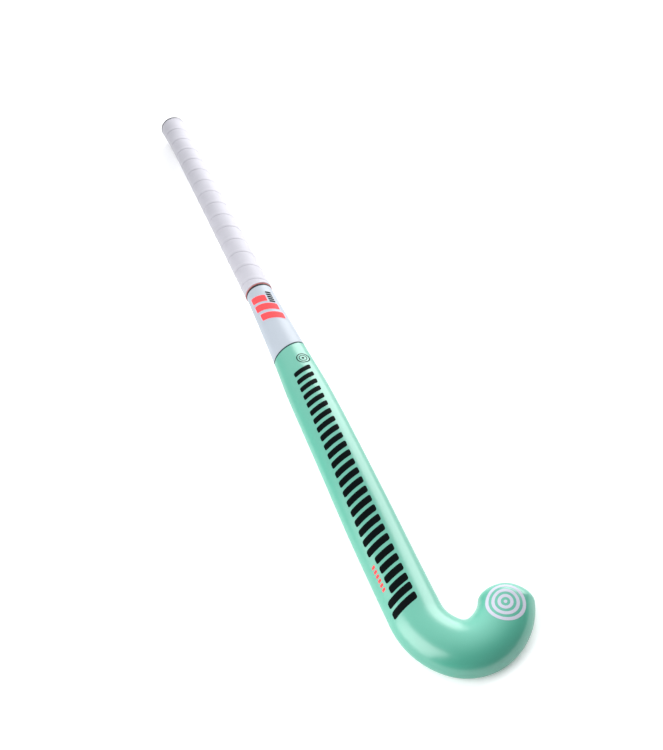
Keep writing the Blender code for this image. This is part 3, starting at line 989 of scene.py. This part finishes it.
def cloth_finish():
    """Resin-wet glass cloth, a plain weave."""
    finish = Finish("glass_cloth", {"Coat Weight": 0.4, "Coat Roughness": 0.25})
    across = finish.waves((420.0, 0.0, 0.0), "X")
    along = finish.waves((0.0, 420.0, 0.0), "Y")
    weave = finish.math("MULTIPLY", across, along)
    finish.colour(finish.mixed(weave, srgb(186, 190, 172), srgb(228, 230, 216)))
    finish.roughness(finish.spread(weave, 0.0, 1.0, 0.55, 0.35))
    finish.bump(weave, 0.0001)
    return finish.material


def foam_finish():
    """Dark foam underlay with open cells."""
    finish = Finish("underlay_foam")
    cells = finish.cells(even(1500.0)).outputs["Distance"]
    finish.colour(finish.mixed(cells, srgb(62, 62, 66), srgb(112, 112, 118)))
    finish.roughness(finish.spread(cells, 0.0, 1.0, 0.95, 0.8))
    finish.bump(cells, 0.0002)
    return finish.material


def floor_finish():
    """Pale studio floor with hardly any grain, lit a little from below."""
    finish = Finish("studio_floor")
    grain = finish.noise(even(9.0), 2.0)
    finish.colour(finish.mixed(grain, (0.92, 0.92, 0.92, 1.0), (0.94, 0.94, 0.94, 1.0)))
    finish.roughness(finish.filled(grain, 0.85, 0.95))
    finish.shader.inputs["Emission Color"].default_value = (1.0, 1.0, 1.0, 1.0)
    finish.shader.inputs["Emission Strength"].default_value = FLOOR_GLOW
    return finish.material


def dress_inner_nodes():
    """Gives the frame's hidden pieces their materials by the start of their names."""
    finishes = {
        "hook_lamination": wood_finish("hook_wood", srgb(150, 108, 62), srgb(196, 158, 108), 260.0),
        "handle_cane": wood_finish("handle_cane", srgb(176, 140, 88), srgb(218, 188, 136), 700.0),
        "handle_rubber": rubber_finish("damping_rubber", srgb(30, 30, 33), srgb(44, 44, 48), 0.8),
        "face_cloth": cloth_finish(),
        "grip_underlay": foam_finish(),
    }
    finishes["back_cloth"] = finishes["face_cloth"]
    for name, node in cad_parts.items():
        for start, finish in finishes.items():
            if name.startswith(start):
                node.data.materials.clear()
                node.data.materials.append(finish)


# ---- Studio ----

BRIGHT_SIDE = (-0.05, 0.80, 0.60)
BRIGHT_STRENGTH = 1.7
DIM_STRENGTH = 0.25
FLOOR_GLOW = 0.2  # the floor is a light table, which keeps shadows faint
FLOOR_REACH = 6.0
FLOOR_DROP = 0.0003  # the floor lies just below the flat face

CAMERA_TARGET = (-0.00451, -0.08338, 0.01975)
CAMERA_DISTANCE = 0.94274
CAMERA_AZIMUTH = -0.20174  # radians, to the toe's side when positive
CAMERA_ELEVATION = 0.84620
CAMERA_ROLL = -0.22390
CAMERA_SENSOR = 36.0  # millimetres, as is the lens
CAMERA_LENS = 47.50


def make_floor():
    bm = bmesh.new()
    bmesh.ops.create_grid(bm, x_segments=8, y_segments=8, size=FLOOR_REACH)
    mesh = bpy.data.meshes.new("floor")
    bm.to_mesh(mesh)
    bm.free()
    mesh.materials.append(floor_finish())
    floor = bpy.data.objects.new("floor", mesh)
    bpy.context.scene.collection.objects.link(floor)
    floor.location.z = -FLOOR_DROP


def soft_light(name, aim, direction, distance, size, power):
    """Rectangular soft light that looks at aim from a direction and a distance."""
    data = bpy.data.lights.new(name, "AREA")
    data.shape = "RECTANGLE"
    data.size, data.size_y = size
    data.energy = power
    light = bpy.data.objects.new(name, data)
    bpy.context.scene.collection.objects.link(light)
    away = Vector(direction).normalized()
    light.location = Vector(aim) + away * distance
    light.rotation_euler = away.to_track_quat("Z", "Y").to_euler()


def make_camera():
    """Camera above the head and a little to its left, which looks up the shaft, rolled a little."""
    level = math.cos(CAMERA_ELEVATION)
    back = Vector(
        (
            math.sin(CAMERA_AZIMUTH) * level,
            -math.cos(CAMERA_AZIMUTH) * level,
            math.sin(CAMERA_ELEVATION),
        )
    )
    data = bpy.data.cameras.new("camera")
    data.sensor_width = CAMERA_SENSOR
    data.lens = CAMERA_LENS
    camera = bpy.data.objects.new("camera", data)
    bpy.context.scene.collection.objects.link(camera)
    camera.location = Vector(CAMERA_TARGET) + back * CAMERA_DISTANCE
    right = (-back).cross(Vector((0, 0, 1))).normalized()
    up = right.cross(-back)
    c, q = math.cos(CAMERA_ROLL), math.sin(CAMERA_ROLL)
    right_turned = right * c + up * q
    up_turned = up * c - right * q
    axes = Matrix((right_turned, up_turned, back)).transposed()
    camera.rotation_euler = axes.to_euler()
    bpy.context.scene.camera = camera


def make_world():
    """Studio walls and ceiling: bright beyond the stick, dim on the side it is seen from."""
    world = bpy.data.worlds.new("studio")
    world.use_nodes = True
    nodes, links = world.node_tree.nodes, world.node_tree.links
    background = nodes["Background"]
    background.inputs["Color"].default_value = (0.95, 0.97, 1.0, 1.0)
    towards = nodes.new("ShaderNodeVectorMath")
    towards.operation = "DOT_PRODUCT"
    towards.inputs[1].default_value = BRIGHT_SIDE
    links.new(nodes.new("ShaderNodeTexCoord").outputs["Generated"], towards.inputs[0])
    lobe = nodes.new("ShaderNodeMath")
    lobe.operation = "MAXIMUM"
    lobe.inputs[1].default_value = 0.0
    links.new(towards.outputs["Value"], lobe.inputs[0])
    squared = nodes.new("ShaderNodeMath")
    squared.operation = "MULTIPLY"
    links.new(lobe.outputs["Value"], squared.inputs[0])
    links.new(lobe.outputs["Value"], squared.inputs[1])
    strength = nodes.new("ShaderNodeMath")
    strength.operation = "MULTIPLY_ADD"
    strength.inputs[1].default_value = BRIGHT_STRENGTH
    strength.inputs[2].default_value = DIM_STRENGTH
    links.new(squared.outputs["Value"], strength.inputs[0])
    links.new(strength.outputs["Value"], background.inputs["Strength"])
    bpy.context.scene.world = world
    bpy.context.scene.view_settings.view_transform = "Standard"


def main():
    mint = lacquer("mint_lacquer", srgb(67, 156, 132), srgb(72, 160, 137), 1.0, 0.28)
    pale = lacquer("pale_lacquer", srgb(164, 172, 181), srgb(168, 176, 185), 0.5, 0.34)
    coral = film("coral_film", srgb(234, 78, 82), srgb(242, 85, 88), 0.35)
    coral_line = film("coral_line_film", srgb(204, 112, 112), srgb(214, 120, 118), 0.45)
    ink = film("dark_film", srgb(3, 8, 9), srgb(7, 13, 14), 0.4)
    white = film("pale_film", srgb(184, 184, 198), srgb(190, 189, 203), 0.38)
    pinstripe = film("pinstripe_film", srgb(44, 66, 66), srgb(54, 78, 78), 0.4)

    dress_inner_nodes()
    make_lower_sleeve(mint)
    make_break_line(pinstripe)
    make_upper_sleeve(pale)
    make_finishing_tape(tape_finish())
    make_accent_line(coral_line)
    make_grip(grip_finish())
    make_cap(rubber_finish("cap_rubber", srgb(26, 26, 28), srgb(38, 38, 41), 0.55))
    make_shaft_graphic(ink)
    make_side_graphic(coral)
    make_handle_graphic(coral, white, ink)
    make_toe_graphic(white)
    make_ring_graphic(ink)

    make_floor()
    make_world()
    soft_light(
        "window_right_back",
        aim=(-0.03, -0.05, 0.02),
        direction=(0.80, 0.50, 0.38),
        distance=1.8,
        size=(2.1, 1.5),
        power=44.0,
    )
    soft_light(
        "fill_left",
        aim=(0.01, -0.30, 0.0),
        direction=(-0.86, -0.03, 0.48),
        distance=0.6,
        size=(0.47, 0.55),
        power=3.5,
    )
    make_camera()


main()
